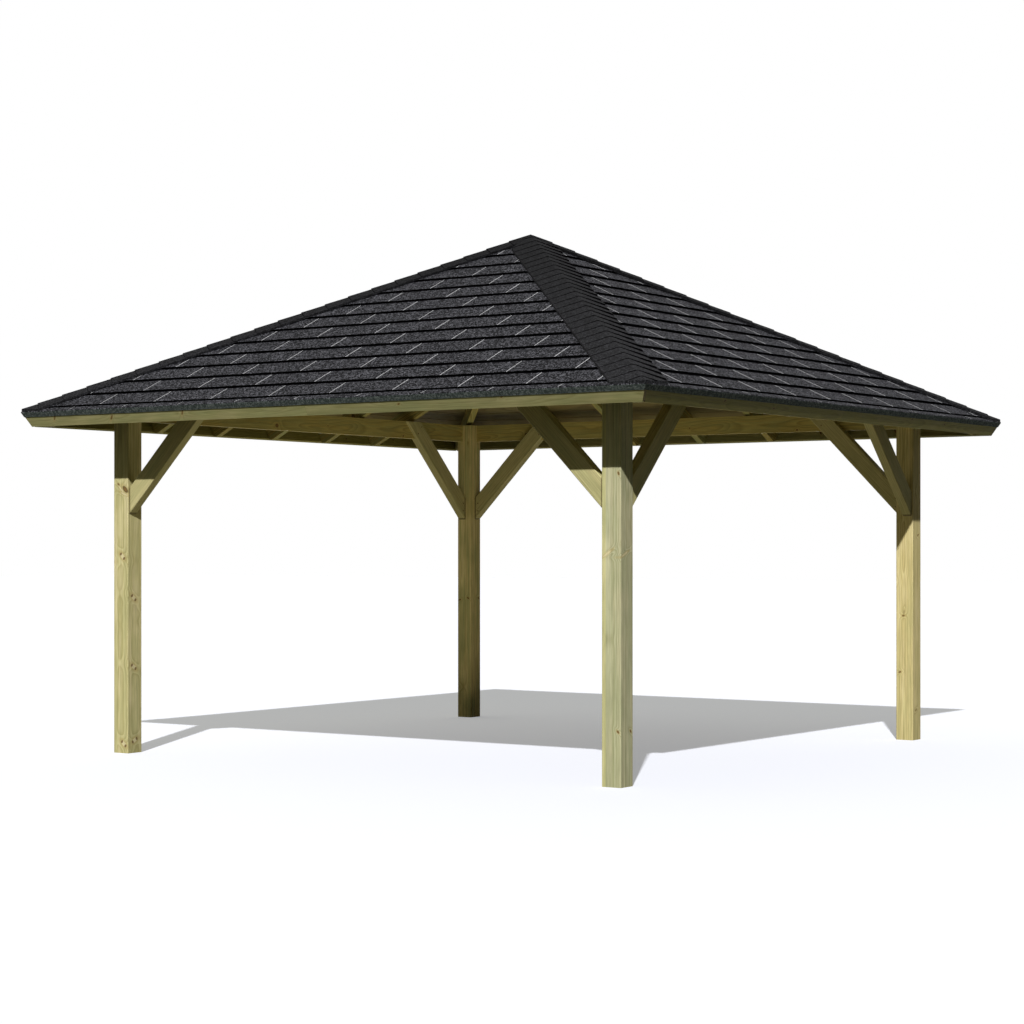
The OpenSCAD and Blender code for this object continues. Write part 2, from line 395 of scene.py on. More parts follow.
def scattered_branches(new, x, from_y, from_z, radius, branches):
    """How far off the closest scattered branch is, where 1 is its rim."""
    angle = new("ShaderNodeMath", {0: from_z, 1: from_y}, operation="ARCTAN2").outputs[0]
    round_it = new("ShaderNodeMath", {0: angle, 1: branches / (2 * pi)}, operation="MULTIPLY")
    along_it = new("ShaderNodeMath", {0: x, 1: 1 / WHORL_GAP}, operation="MULTIPLY")
    stem = new("ShaderNodeCombineXYZ", {0: along_it.outputs[0], 1: round_it.outputs[0]}).outputs[0]
    branch = new("ShaderNodeTexVoronoi", {"Vector": stem, "Scale": 1}, voronoi_dimensions="2D")
    away = new("ShaderNodeVectorMath", {0: stem, 1: branch.outputs["Position"]},
               operation="SUBTRACT").outputs[0]
    away = new("ShaderNodeSeparateXYZ", {0: away}).outputs
    x_away = new("ShaderNodeMath", {0: away[0], 1: WHORL_GAP * 0.85}, operation="MULTIPLY").outputs[0]
    arc = new("ShaderNodeMath", {0: away[1], 1: radius}, operation="MULTIPLY").outputs[0]
    arc = new("ShaderNodeMath", {0: arc, 1: 2 * pi / branches}, operation="MULTIPLY").outputs[0]
    off = new("ShaderNodeCombineXYZ", {0: x_away, 1: arc}).outputs[0]
    off = new("ShaderNodeVectorMath", {0: off}, operation="LENGTH").outputs["Value"]
    draw = new("ShaderNodeSeparateXYZ", {0: branch.outputs["Color"]}).outputs[0]
    size = new("ShaderNodeMath", {0: draw, 1: BRANCH_SPREAD, 2: BRANCH_LEAST},
               operation="MULTIPLY_ADD").outputs[0]
    size = new("ShaderNodeMath", {0: size, 1: 0.5}, operation="MAXIMUM").outputs[0]
    return new("ShaderNodeMath", {0: off, 1: size}, operation="DIVIDE").outputs[0]


def growth_rings(new, radius, reach):
    """Where in its year the wood grew, from 0 in spring to 1 in autumn."""
    years = new("ShaderNodeMath", {0: radius, 1: 1 / RING_DRIFT}, operation="MULTIPLY").outputs[0]
    years = new("ShaderNodeTexNoise", {"W": years, "Scale": 1, "Detail": 1}, noise_dimensions="1D")
    rings = new("ShaderNodeMath", {0: years.outputs["Fac"], 1: RING_SPREAD, 2: radius},
                operation="MULTIPLY_ADD").outputs[0]
    if reach is not None:
        swell = new("ShaderNodeMath", {0: reach, 1: reach}, operation="MULTIPLY").outputs[0]
        swell = new("ShaderNodeMath", {0: swell, 1: -0.16}, operation="MULTIPLY").outputs[0]
        swell = new("ShaderNodeMath", {0: swell}, operation="EXPONENT").outputs[0]
        rings = new("ShaderNodeMath", {0: swell, 1: KNOT_SWELL, 2: rings},
                    operation="MULTIPLY_ADD").outputs[0]
    rings = new("ShaderNodeMath", {0: rings, 1: 1 / RING_GAP}, operation="MULTIPLY").outputs[0]
    return new("ShaderNodeMath", {0: rings}, operation="FRACT").outputs[0]


print("whorls of branches are %d mm apart along the stem" % WHORL_GAP)

# %% [markdown]
# The colour is laid on in coats, as on the real thing: the wood itself, the green salts where they
# soaked in, creamy patches where they didn't, a warm halo and a dark heart for each knot, and thirsty
# dark end grain. A last coat is painted shadow along each brace's foot, where it meets the post.
# Each coat fades in as some measure passes from one value to another.

# %% Coats of colour
POST_FACE = -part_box("post_front_left")[1].x


def coat(new, wood, colour, measure, none_at, full_at, most):
    """Lays a colour over the wood, from nothing to its most as a measure passes two values."""
    amount = new("ShaderNodeMapRange", {"Value": measure, "From Min": none_at, "From Max": full_at,
                                        "To Min": 0.0, "To Max": most}).outputs[0]
    laid = colour if isinstance(colour, bpy.types.NodeSocket) else linear(colour)
    return new("ShaderNodeMix", {0: amount, 6: wood, 7: laid}, data_type="RGBA").outputs[2]


def knot_coats(new, wood, dark, pale):
    """The halo round every knot, the cream of the pale ones and the heart of the dark ones."""
    reach = closer(new, dark, pale)
    if reach is not None:
        wood = coat(new, wood, KNOT_HALO, reach, 2.2, 1.0, 0.55)
    if pale is not None:
        wood = coat(new, wood, CREAM, pale, 1.15, 0.8, 0.85)
    if dark is not None:
        heart = new("ShaderNodeValToRGB", {"Fac": dark}, stops=(
            (0.0, KNOT_HEART), (0.5, KNOT_HEART), (0.85, KNOT_RIM), (1.0, KNOT_RIM)))
        wood = coat(new, wood, heart.outputs["Color"], dark, 1.15, 0.8, 0.9)
    return wood


def end_coats(new, wood, where, along, foot):
    """Dark end grain on the cut ends, and a painted shadow along a brace's foot beside the post."""
    normal = new("ShaderNodeNewGeometry").outputs["Normal"]
    facing = new("ShaderNodeVectorMath", {0: normal, 1: Vector(along).normalized()},
                 operation="DOT_PRODUCT").outputs["Value"]
    facing = new("ShaderNodeMath", {0: facing}, operation="ABSOLUTE").outputs[0]
    wood = coat(new, wood, END_GRAIN, facing, 0.8, 0.9, 0.85)
    # A painted shadow along the brace's foot, where it meets the post
    if foot is not None:
        inward = new("ShaderNodeVectorMath", {0: where, 1: foot}, operation="DOT_PRODUCT")
        wood = coat(new, wood, FOOT_SHADOW, inward.outputs["Value"],
                    POST_FACE - 12 * MM, POST_FACE - 8 * MM, 0.7)
    return wood


print("the posts' inner faces are %.3f m from the middle" % POST_FACE)

# %% Treated pine


def pine(name, along, across, centre, colours=STRAW, pith=(25, -45), wander=90, every=0,
         splice=False, green=0.45, cream=0.0, tone=1.0, figure=1.0, branches=5, knots=(),
         pale_knots=(), foot=None, sapwood=None, shift=0):
    """Treated pine whose grain runs along a piece; centre is in metres and pith in millimetres."""
    material, shader, new = new_material("treated pine, " + name,
                                         {"IOR": 1.45, "Specular IOR Level": 0.18})
    where = new("ShaderNodeTexCoord").outputs["Object"]
    own = grain_axes(new, where, along, across, centre)
    x, y, z, mark = separate_lengths(new, own, every, splice, shift)
    grain = new("ShaderNodeCombineXYZ", {0: x, 1: y, 2: z}).outputs[0]
    from_y, from_z, radius = off_the_pith(new, grain, y, z, pith, wander)
    dark = nearest(new, own, knots)
    pale = nearest(new, own, pale_knots)
    if branches:
        grown = scattered_branches(new, x, from_y, from_z, radius, branches)
        dark = closer(new, dark, grown)

    # Pale early wood and dark late wood, less marked where the figure is faint
    season = growth_rings(new, radius, closer(new, dark, pale))
    early, mid, late = colours
    wood = new("ShaderNodeValToRGB", {"Fac": season}, stops=(
        (0.0, early), (0.45, mid), (0.86, late), (1.0, early))).outputs["Color"]
    wood = new("ShaderNodeMix", {0: figure, 6: linear(mid), 7: wood}, data_type="RGBA").outputs[2]
    if sapwood is not None:
        wood = coat(new, wood, SAPWOOD, y, sapwood + 3, sapwood - 3, 0.75)

    # Salts soak in by stripes and clouds, and leave creamy wood between them
    salts = new("ShaderNodeTexNoise", {"Vector": drawn_out(new, grain, STRIPES), "Scale": 1,
                                       "Detail": 3}).outputs["Fac"]
    blotch = new("ShaderNodeTexNoise", {"Vector": drawn_out(new, grain, CLOUDS), "Scale": 1,
                                        "Detail": 2}).outputs["Fac"]
    soaked = new("ShaderNodeMath", {0: salts, 1: blotch}, operation="ADD").outputs[0]
    wood = coat(new, wood, COPPER_GREEN, soaked, 0.85, 1.2, 1.6 * green)
    if cream:
        wood = coat(new, wood, CREAM, soaked, 1.0, 0.75, cream)
    wood = knot_coats(new, wood, dark, pale)
    wood = end_coats(new, wood, where, along, foot)

    # Fibres shade the wood and roughen it, and each board is a little lighter or darker
    fibre = new("ShaderNodeTexNoise", {"Vector": drawn_out(new, grain, THREADS), "Scale": 1,
                                       "Detail": 4, "Roughness": 0.6}).outputs["Fac"]
    shade = new("ShaderNodeMapRange", {"Value": fibre, "From Min": 0.3, "From Max": 0.7,
                                       "To Min": 0.82 * tone, "To Max": 1.13 * tone}).outputs[0]
    if mark is not None:
        board = new("ShaderNodeMath", {0: mark, 1: 0.22, 2: 0.88}, operation="MULTIPLY_ADD").outputs[0]
        shade = new("ShaderNodeMath", {0: shade, 1: board}, operation="MULTIPLY").outputs[0]
    grey = new("ShaderNodeCombineXYZ", {0: shade, 1: shade, 2: shade}).outputs[0]
    wood = new("ShaderNodeMix", {0: 1.0, 6: wood, 7: grey}, data_type="RGBA",
               blend_type="MULTIPLY").outputs[2]
    relief = new("ShaderNodeMath", {0: season, 1: 0.5, 2: fibre}, operation="MULTIPLY_ADD").outputs[0]
    bump = new("ShaderNodeBump", {"Height": relief, "Strength": 0.35, "Distance": 0.0006})
    rough = new("ShaderNodeMapRange", {"Value": fibre, "To Min": 0.62, "To Max": 0.8}).outputs[0]
    tree = material.node_tree
    tree.links.new(wood, shader.inputs["Base Color"])
    tree.links.new(rough, shader.inputs["Roughness"])
    tree.links.new(bump.outputs[0], shader.inputs["Normal"])
    return material


def dress(node, material):
    """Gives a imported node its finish; its mesh isn't touched."""
    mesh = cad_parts[node].data
    mesh.materials.clear()
    mesh.materials.append(material)


def middle(node):
    """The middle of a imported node's box."""
    low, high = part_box(node)
    return (low + high) / 2


print("the front right post's middle is at", middle("post_front_right")[:])

# %% [markdown]
# Every timber gets the grain along its own length. The posts are cut close to the heart of the log:
# their grain runs straight, and knots come out on every face, so a post's knots are placed one by
# one, most of them slanting. The other timbers are sawn beside the heart and show arches.

# %% Knots of the posts
HALF_POST = 58.5
FACES = {"front": (0, -1), "right": (1, 0), "back": (0, 1), "left": (-1, 0)}
SLANTED = (52, 25)
SMALL = (20, 11)
LARGE = (54, 27)
SCAR = (62, 11)
SLIT = (26, 5)
POST_KNOTS = {
    "front_left": [("front", 0, 1582, SCAR, -45), ("front", 27, 1551, SCAR, -70),
                   ("front", 36, 1579, LARGE, -48), ("front", -20, 1610, SMALL, -60),
                   ("front", 13, 1179, SLANTED, -45),
                   ("front", 24, 57, SLANTED, -50), ("right", -10, 930, SLANTED, -48),
                   ("right", -10, 516, SLANTED, -55), ("right", -2, 76, SLANTED, 60)],
    "front_right": [("front", -25, 1202, SCAR, 56), ("right", -20, 1200, SCAR, 65),
                    ("front", 44, 1614, SMALL, -20), ("front", 41, 287, SMALL, -45),
                    ("right", 35, 286, SMALL, -45)],
    "back_right": [("front", -3, 818, SLIT, 5), ("front", -8, 795, SMALL, 80),
                   ("front", -32, 434, SMALL, 70), ("right", -12, 192, SMALL, 45),
                   ("right", 18, 1310, SMALL, 60)],
    "back_left": [("front", 33, 863, SMALL, -60), ("right", 36, 861, SMALL, -60),
                  ("front", -40, 850, SMALL, 70), ("front", 33, 1984, SLIT, 0),
                  ("right", 29, 1987, SLIT, 0)],
}


def post_knots(corner, tops, luck):
    """Dark knots and pale knots of one post, in the post's own millimetres."""
    dark, pale = [], []
    picked = list(POST_KNOTS[corner])
    for hidden in ("back", "left"):
        picked += [(hidden, luck.uniform(-30, 30), luck.uniform(150, 1700), SLANTED,
                    luck.uniform(-60, -40)) for _ in range(2)]
    for face, offset, height, size, lean in picked:
        nx, ny = FACES[face]
        right = Vector((0, -ny, nx))
        outward = Vector((0, nx, ny))
        centre = Vector((height - tops / 2, 0, 0)) + outward * HALF_POST + right * offset
        if size is SCAR:
            pale.append(knot(centre, right, outward, size, lean))
        elif size is SLANTED:
            pale.append(knot(centre, right, outward, size, lean))
            along = Vector((1, 0, 0)) * cos(radians(lean)) + right * sin(radians(lean))
            for end in (-0.36, 0.36):
                tip = centre + along * size[0] * end
                dark.append(knot(tip, right, outward, (15, 20), lean, 16))
        else:
            dark.append(knot(centre, right, outward, size, lean, 16))
    return dark, pale


print(sum(len(v) for v in POST_KNOTS.values()), "knots placed by hand")

# %% The sides and corners
PITCH = radians(27.2)
SIDES = ["right", "back", "left", "front"]
CORNERS = ["back_right", "back_left", "front_left", "front_right"]
UP = Vector((0, 0, 1))


def turned(vector, k):
    """A vector of the right side or back right corner, turned to side or corner k."""
    return Matrix.Rotation(k * pi / 2, 3, "Z") @ Vector(vector)


for k, side in enumerate(SIDES):
    print("the", side, "side looks towards", [round(v) for v in turned((1, 0, 0), k)])

# %% [markdown]
# Not two timbers of a kit are alike. The values below are the small differences that the picture
# shows: how green or creamy each post is, how light each board, and where a fascia has its knots.
# Two tones also hold painted light: the back posts are painted lighter, for the light under the
# roof, and the right fascia darker, for the shade on that side.

# %% How the timbers differ
POST_WOOD = {"front_left": STRAW, "front_right": GREY_STRAW, "back_right": GOLD_STRAW,
             "back_left": GOLD_STRAW}
POST_GREEN = {"front_left": 0.15, "front_right": 0.2, "back_right": 0.15, "back_left": 0.35}
POST_CREAM = {"front_left": 0.6, "front_right": 0.2, "back_right": 0.4, "back_left": 0.2}
POST_SAPWOOD = {"front_right": -34}
# Each post's tone; the back posts' values also hold painted light, for the light under the roof
POST_TONE_AND_LIGHT = {"front_left": 0.96, "front_right": 0.96, "back_right": 1.06, "back_left": 1.1}
FASCIA_GREEN = {"front": 0.22, "right": 0.1, "back": 0.22, "left": 0.1}
# Each fascia's tone; the right one is painted darker, for the shade on that side
FASCIA_TONE_AND_SHADE = {"front": 0.9, "right": 0.48, "back": 0.84, "left": 0.8}
FASCIA_WOOD = {"front": OLIVE, "right": OLIVE_GOLD, "back": OLIVE, "left": OLIVE_GOLD}
BRACE_TONE = {"front_left": 0.88, "front_right": 0.88, "back_right": 0.8, "back_left": 0.76}
MARK = (44, 12)
FASCIA_KNOTS = {"front": [(-1922, 10, MARK, 55), (-1463, -5, MARK, 50), (-903, 8, MARK, 60),
                          (640, 0, SMALL, 20), (1310, 15, SMALL, 30)],
                "right": [(-1360, 5, SMALL, 20), (-819, -10, SMALL, 10), (896, 12, SMALL, 30),
                          (1370, 0, SMALL, 15)]}
FASCIA_KNOTS["back"] = FASCIA_KNOTS["front"]
FASCIA_KNOTS["left"] = FASCIA_KNOTS["right"]
print(sum(len(v) for v in FASCIA_KNOTS.values()), "knots on the fascias")

# %% Dress the posts, braces and hips
chance = Random(41)
for k, corner in enumerate(CORNERS):
    post = "post_" + corner
    pith = (chance.uniform(-22, 22), chance.uniform(-22, 22))
    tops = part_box(post)[1].z * 1000
    dark, pale = post_knots(corner, tops, chance)
    dress(post, pine(post, UP, (1, 0, 0), middle(post), POST_WOOD[corner], pith=pith, wander=24,
                     branches=0, knots=dark, pale_knots=pale, shift=chance.uniform(0, 5000),
                     green=POST_GREEN[corner], cream=POST_CREAM[corner], figure=0.85,
                     tone=POST_TONE_AND_LIGHT[corner], sapwood=POST_SAPWOOD.get(corner)))
    for brace, lean in (("brace_a_" + corner, (0, -1, 1)), ("brace_b_" + corner, (-1, 0, 1))):
        flat = turned((1, 0, 0) if lean[0] == 0 else (0, 1, 0), k)
        foot = turned((0, 1, 0) if lean[0] == 0 else (1, 0, 0), k)
        dress(brace, pine(brace, turned(lean, k), flat, middle(brace), STRAW, wander=50,
                          pith=(chance.uniform(25, 60), chance.uniform(-25, 25)),
                          shift=chance.uniform(0, 5000), green=0.15, cream=0.1, figure=0.5,
                          tone=BRACE_TONE[corner], branches=0, foot=foot))
    hip = "hip_rafter_" + corner
    fall = Vector((1, 1, -tan(PITCH))).normalized()
    dress(hip, pine(hip, turned(fall, k), turned((-1, 1, 0), k), middle(hip), HONEY,
                    shift=chance.uniform(0, 5000), green=0.4))
print(len(bpy.data.materials), "materials after the corners")

# %% Dress the beams, rafters, boards and fascias
for k, side in enumerate(SIDES):
    slope_fall = turned((cos(PITCH), 0, -sin(PITCH)), k)
    level = turned((0, 1, 0), k)
    beam = "beam_" + side
    dress(beam, pine(beam, level, UP, middle(beam), HONEY, pith=(chance.uniform(-15, 15), 38),
                     wander=120, shift=chance.uniform(0, 5000), green=0.2, figure=0.55))
    rafter = "middle_rafter_" + side
    dress(rafter, pine(rafter, slope_fall, level, middle(rafter), HONEY,
                       shift=chance.uniform(0, 5000)))
    jacks = "jack_rafters_" + side
    dress(jacks, pine(jacks, slope_fall, level, middle(jacks), HONEY, every=550,
                      shift=chance.uniform(0, 5000)))
    boards = "roof_boards_" + side
    dress(boards, pine(boards, level, slope_fall, (0, 0, 0), BROWN, every=96, pith=(10, -30),
                       shift=chance.uniform(0, 5000), green=0.1, figure=0.6))
    fascia = "fascia_" + side
    marks = [knot((place, up, 0), (0, 1, 0), (0, 0, 1), size, tilt)
             for place, up, size, tilt in FASCIA_KNOTS[side]]
    dress(fascia, pine(fascia, level, turned((sin(PITCH), 0, cos(PITCH)), k), middle(fascia),
                       FASCIA_WOOD[side], figure=0.6,
                       pith=(chance.uniform(-20, 20), -40), shift=chance.uniform(0, 5000),
                       splice=True, green=FASCIA_GREEN[side], cream=0.15, branches=0,
                       tone=FASCIA_TONE_AND_SHADE[side], knots=marks))
dress("apex_hub", pine("apex hub", UP, (1, 0, 0), middle("apex_hub"), HONEY, pith=(5, 8)))
print(len(bpy.data.materials), "materials so far")

# %% [markdown]
# The felt is bitumen sheet pressed with slate granules. The granules give it its speckle and its
# matt, sandy surface; the cut edges show bare black bitumen. Voronoi cells make the granules, each
# with its own grey. Real granules are about 1.5 mm across and would vanish at this distance, so
# the speckle that the picture shows is drawn at 7 mm, over a finer one of 2 mm. The same black, as
# painted shade, also lies below the edge of each course and each cap.

# %% Felt and bitumen
SPECKLE = 7
FINE_GRAIN = 2


def felt(name, *greys, level=0.08):
    """Granulated felt in three greys; the tone attribute sets each cut piece a little apart."""
    material, shader, new = new_material(name, {"Roughness": 0.95, "IOR": 1.5,
                                                "Specular IOR Level": level})
    where = new("ShaderNodeTexCoord").outputs["Object"]
    speckle = new("ShaderNodeTexVoronoi", {"Vector": where, "Scale": 1000 / SPECKLE})
    fine = new("ShaderNodeTexVoronoi", {"Vector": where, "Scale": 1000 / FINE_GRAIN})
    coarse_grey = new("ShaderNodeSeparateXYZ", {0: speckle.outputs["Color"]}).outputs[0]
    fine_grey = new("ShaderNodeSeparateXYZ", {0: fine.outputs["Color"]}).outputs[1]
    grey = new("ShaderNodeMix", {0: 0.2, 2: coarse_grey, 3: fine_grey}).outputs[0]
    stone = new("ShaderNodeValToRGB", {"Fac": grey}, stops=tuple(zip((0.2, 0.55, 0.95), greys)))
    stone = stone.outputs["Color"]
    tone = new("ShaderNodeAttribute", attribute_name="tone").outputs["Fac"]
    tones = new("ShaderNodeCombineXYZ", {0: tone, 1: tone, 2: tone}).outputs[0]
    stone = new("ShaderNodeMix", {0: 1.0, 6: stone, 7: tones}, data_type="RGBA",
                blend_type="MULTIPLY").outputs[2]
    relief = new("ShaderNodeMath", {0: fine.outputs["Distance"], 1: 0.4,
                                    2: speckle.outputs["Distance"]}, operation="MULTIPLY_ADD")
    bump = new("ShaderNodeBump", {"Height": relief.outputs[0], "Strength": 0.6, "Distance": 0.0012},
               invert=True)
    tree = material.node_tree
    tree.links.new(stone, shader.inputs["Base Color"])
    tree.links.new(bump.outputs[0], shader.inputs["Normal"])
    return material


SHINGLE_FELT = felt("slate-granule felt", "#060607", "#19191C", "#68686F")
CAP_FELT = felt("fine-granule cap felt", "#0D0D0E", "#19191B", "#2F2F32")
EAVE_FELT = felt("eave strip felt", "#333937", "#464D4B", "#6A716E")
# Bare black bitumen for the cut edges, and the same black for the bands of painted shade below butts
BITUMEN_AND_SHADE = felt("bare bitumen edge and painted shade band", "#030303", "#030304", "#050505", level=0)
SEAL_STRIP = felt("pale sealing strip", "#D0D0D4", "#D8D8DC", "#E2E2E6", level=0)
print("felt finishes ready")

# %% [markdown]
# The shingle tabs are laid the way a roofer lays them: course over course from the eave up, each
# tab a thin wedge whose lower edge stands proud of the course below and whose slots step sideways
# from course to course. The slabs are built flat, with x down the slope, y along the eave and z
# square to it. Then the whole slope is tipped to its pitch, cut to the two hips and turned to its
# side of the roof. The board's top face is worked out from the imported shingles' own box.

# %% Roof sizes
BUTT = 10 * MM
THIN = 2 * MM
COURSE = 174.5 * MM
EAVE_COURSE = 69 * MM
TUCK = 20 * MM
LIP = 3 * MM
# The turned-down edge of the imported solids, and the one that the picture shows
LIP_DROP = 23 * MM
LIP_HANG = 26 * MM
NOSE = 14 * MM
NOSE_RADIUS = 6 * MM

low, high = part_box("shingles_right")
BOARD_TOP = (high.x * sin(PITCH) + low.z * cos(PITCH) - BUTT * sin(PITCH) ** 2
             + LIP_DROP * cos(PITCH) ** 2)
LIP_OUT = (high.x - (BOARD_TOP + BUTT) * sin(PITCH)) / cos(PITCH)
APEX_T = -(BOARD_TOP + BUTT) * tan(PITCH)
HALF_EAVE = high.x
print("slope runs %.3f m from the apex to the eave" % (LIP_OUT - APEX_T))

# %% Solids for felt
FELT_INDEX, BITUMEN_AND_SHADE_INDEX, SEAL_INDEX, EAVE_INDEX = range(4)


def slab(bm, ends, sides, lower, upper, material, top_material, tone):
    """A wedge from its lower end to its upper end; lower and upper are bottom and top heights."""
    verts = bmesh.ops.create_cube(bm, size=1)["verts"]
    for v in verts:
        bottom, top = lower if v.co.x > 0 else upper
        v.co = (ends[v.co.x < 0], sides[v.co.y > 0], top if v.co.z > 0 else bottom)
        v[bm.verts.layers.float["tone"]] = tone
    faces = {f for v in verts for f in v.link_faces}
    for f in faces:
        f.material_index = material
        f.normal_update()
        if f.normal.z > 0.9:
            f.material_index = top_material


def bar(bm, rings, materials, tone):
    """A closed solid through rings of points; materials says what each strip between two rings is."""
    layer = bm.verts.layers.float["tone"]
    loops = [[bm.verts.new(point) for point in ring] for ring in rings]
    for v in (v for loop in loops for v in loop):
        v[layer] = tone
    for near, far, row in zip(loops, loops[1:], materials):
        for i, material in enumerate(row):
            j = (i + 1) % len(row)
            bm.faces.new((near[i], near[j], far[j], far[i])).material_index = material
    for loop in (loops[0], loops[-1]):
        bm.faces.new(loop).material_index = BITUMEN_AND_SHADE_INDEX
    return [v for loop in loops for v in loop]


def cut(bm, normal, point=(0, 0, 0)):
    """Cuts away what lies beyond a plane and closes the cut."""
    everything = bm.verts[:] + bm.edges[:] + bm.faces[:]
    bmesh.ops.bisect_plane(bm, geom=everything, dist=1e-6, plane_co=point, plane_no=normal,
                           clear_outer=True)
    bmesh.ops.holes_fill(bm, edges=[e for e in bm.edges if e.is_boundary])


def finished(bm, name, materials):
    """Makes a closed bmesh into a piece of the gazebo and says how many faces it has."""
    bmesh.ops.recalc_face_normals(bm, faces=bm.faces)
    mesh = bpy.data.meshes.new(name)
    bm.to_mesh(mesh)
    open_edges = sum(e.is_boundary for e in bm.edges)
    bm.free()
    for material in materials:
        mesh.materials.append(material)
    piece = bpy.data.objects.new(name, mesh)
    bpy.context.scene.collection.objects.link(piece)
    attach(piece, "root")
    print("%s: %d faces, %d open edges" % (name, len(mesh.polygons), open_edges))
    return piece


print("felt faces are of %d kinds" % (EAVE_INDEX + 1))

# %% Shingle courses
ROW_STEP = {"front": 199 * MM, "right": 214 * MM}
TAB = {"front": 432 * MM, "right": 409 * MM}
FIRST_SLOT = {"front": -60 * MM, "right": 95 * MM}
SLOT = {"front": 4.5 * MM, "right": 9 * MM}
LAYING = {"front": "front", "back": "front", "right": "right", "left": "right"}
# Black bands below the butts: painted shade under each butt, laid like a printed shadow line
BUTT_SHADE_BAND = {"front": 19 * MM, "right": 27 * MM}
EAVE_SHADE_BAND = 9 * MM
LIP_PIECE = 60 * MM
HALF_RUN = LIP_OUT * cos(PITCH) + BOARD_TOP * sin(PITCH) + 50 * MM


def courses():
    """Lower and upper ends of each course's visible part, from the eave to the apex."""
    ends = [(LIP_OUT - NOSE, LIP_OUT - EAVE_COURSE)]
    while ends[-1][1] > APEX_T:
        ends.append((ends[-1][1], ends[-1][1] - COURSE))
    return ends


def lay_course(bm, row, ends, way, luck):
    """Lays one course of tabs with the strips in their slots and painted shade below their edge."""
    low_t, high_t = ends
    rest = 0 if row == 0 else THIN
    fall = (BUTT - THIN) / (low_t - high_t)
    top_end = THIN - fall * TUCK
    base = BOARD_TOP
    tab = TAB[way]
    slot = SLOT[way] / 2
    start = FIRST_SLOT[way] + row * ROW_STEP[way]
    first = floor((-HALF_RUN - start) / tab)
    for i in range(first, ceil((HALF_RUN - start) / tab)):
        left = start + i * tab
        tone = luck.uniform(0.93, 1.07)
        edge = low_t if row == 0 else low_t + luck.uniform(-1, 1) * MM
        slab(bm, (edge, high_t - TUCK), (left + slot, left + tab - slot),
             (base + rest, base + BUTT), (base, base + top_end), BITUMEN_AND_SHADE_INDEX, FELT_INDEX, tone)
        strip_end = low_t - MM if row > 0 else LIP_OUT - NOSE_RADIUS + MM
        strip_top = BUTT - 0.3 * MM if row > 0 else BUTT + 1.2 * MM
        slab(bm, (strip_end, high_t - TUCK), (left - slot, left + slot),
             (base + rest, base + strip_top), (base, base + top_end - 0.3 * MM),
             BITUMEN_AND_SHADE_INDEX, SEAL_INDEX, 1)
    # Below this course's butts a black band of painted shade, laid like a printed shadow line
    if row > 0:
        below = (BUTT - THIN) / (COURSE if row > 1 else EAVE_COURSE - NOSE)
        band = BUTT_SHADE_BAND[way] if row > 1 else EAVE_SHADE_BAND
        slab(bm, (low_t + band, low_t - 2 * MM), (-HALF_RUN, HALF_RUN),
             (base + THIN, base + THIN + below * band + 0.5 * MM),
             (base + THIN, base + THIN + 0.5 * MM), BITUMEN_AND_SHADE_INDEX, BITUMEN_AND_SHADE_INDEX, 1)


def eave_lip(bm, luck):
    """The rounded nosing over the boards' edge, turned down a little way over the fascia."""
    top = BOARD_TOP + BUTT
    turns = [i * pi / 8 for i in range(5)]
    nosing = [(LIP_OUT - NOSE_RADIUS * (1 - sin(a)), top - NOSE_RADIUS * (1 - cos(a))) for a in turns]
    inner = [(LIP_OUT - LIP, BOARD_TOP), (LIP_OUT - NOSE, BOARD_TOP), (LIP_OUT - NOSE, top)]
    rings = []
    for i in range(-ceil(HALF_RUN / LIP_PIECE), ceil(HALF_RUN / LIP_PIECE) + 1):
        foot = BOARD_TOP - LIP_HANG + luck.uniform(0, 1.5) * MM
        outline = nosing + [(LIP_OUT, foot), (LIP_OUT - LIP, foot)] + inner
        rings.append([(x, i * LIP_PIECE, z) for x, z in outline])
    row = [FELT_INDEX] * 3 + [EAVE_INDEX] * 2 + [BITUMEN_AND_SHADE_INDEX] * 4 + [FELT_INDEX]
    bar(bm, rings, [row] * (len(rings) - 1), 1)


def shingled_slope(k, side):
    """All the felt of one slope, as one piece."""
    luck = Random(100 + k)
    bm = bmesh.new()
    bm.verts.layers.float.new("tone")
    eave_lip(bm, luck)
    for row, ends in enumerate(courses()):
        lay_course(bm, row, ends, LAYING[side], luck)
    bmesh.ops.transform(bm, matrix=Matrix.Rotation(PITCH, 4, "Y"), verts=bm.verts)
    cut(bm, (-1, 1, 0))
    cut(bm, (-1, -1, 0))
    bmesh.ops.transform(bm, matrix=Matrix.Rotation(k * pi / 2, 4, "Z"), verts=bm.verts)
    piece = finished(bm, "shingle_courses_" + side,
                     (SHINGLE_FELT, BITUMEN_AND_SHADE, SEAL_STRIP, EAVE_FELT))
    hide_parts("shingles_" + side)


for k, side in enumerate(SIDES):
    shingled_slope(k, side)

# %% [markdown]
# The hips are closed with caps: felt pieces folded over the hip, each covering more than half of
# the one below. A cap is a wedge whose section is the folded sheet and whose top climbs towards its
# lower end, so that it stands proud of the next one. On the front and back slopes the wings lie
# close; on the side slopes they lift and show a wide black band of painted shade below the edge of
# the cap above. Two wings are narrower than the others, because those caps are laid off centre. The
# run is that cap repeated up the hip and trimmed where it meets its neighbours at the apex.

# %% Hip cap sizes
CAP_STEP = {"front_right": 108.5 * MM, "front_left": 152 * MM, "back_right": 152 * MM,
            "back_left": 152 * MM}
CAP_FOOT = {"front_right": 20 * MM, "front_left": 40 * MM, "back_right": 40 * MM,
            "back_left": 40 * MM}
CAP_LAP = 10 * MM
CAP_THICK = 8 * MM
CAP_FOLD = 9 * MM
CAP_STOP = 4 * MM
